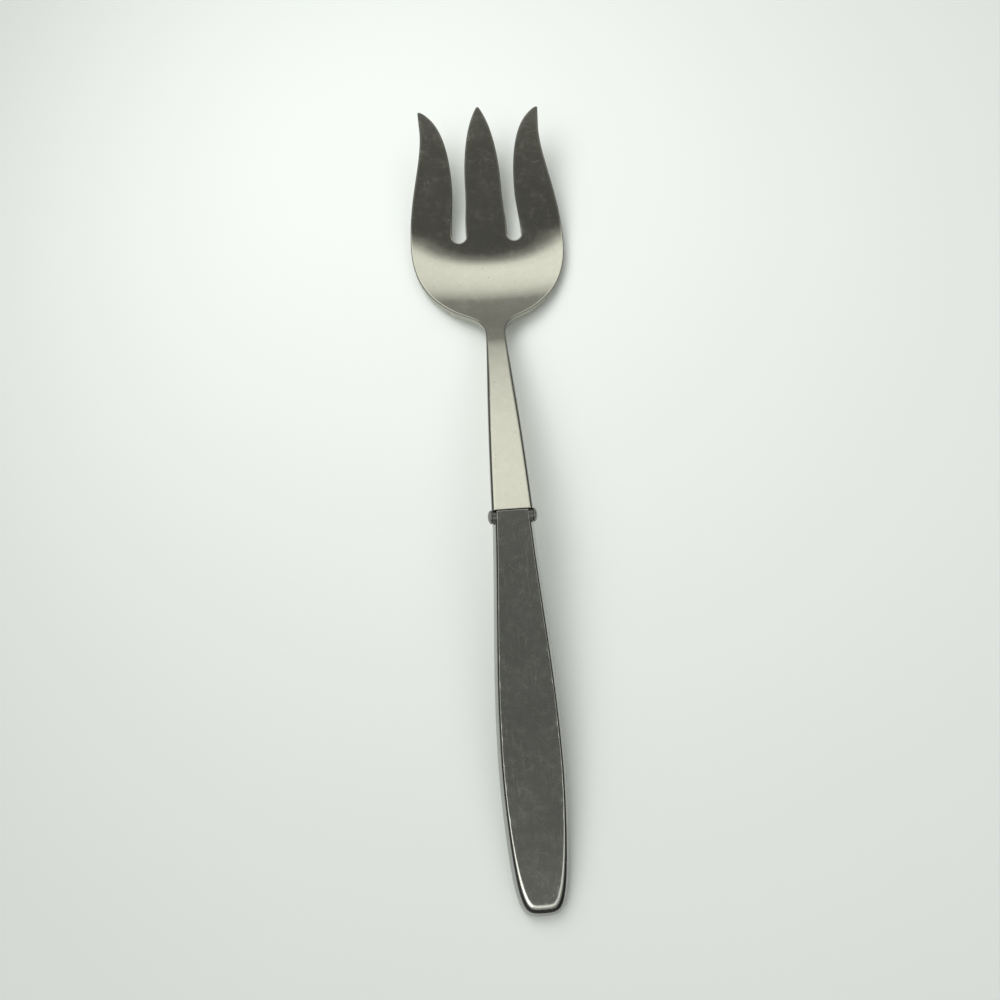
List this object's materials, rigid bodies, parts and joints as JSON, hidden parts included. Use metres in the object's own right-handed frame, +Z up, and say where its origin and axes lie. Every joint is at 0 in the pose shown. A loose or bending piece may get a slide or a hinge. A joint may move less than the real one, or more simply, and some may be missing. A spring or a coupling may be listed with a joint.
{
  "type": "salad fork",
  "caption": "Steel salad serving fork with flame-shaped tines, a shallow bowl, a tapering stem and a hollow handle riveted on its tang.",
  "frame": {"origin": "on the table under the middle of the fork's outline, the fork lying on its bowl and the heel of its handle", "axes": "+Y along the fork towards the tine tips, +X to the right seen from the handle end, +Z up from the table"},
  "size_m": [0.0548, 0.2762, 0.0205],
  "materials": {
    "head_steel": "satin stainless steel, lightly scratched from use",
    "plate_steel": "satin stainless steel with fine long scratches and bright worn edges",
    "shell_steel": "smooth satin stainless steel",
    "rivet_steel": "dull domed steel"
  },
  "bodies": {
    "root": {"fork_head": "head_steel", "handle_plate": "plate_steel", "handle_shell": "shell_steel", "handle_rivet": "rivet_steel"}
  },
  "joints": []
}
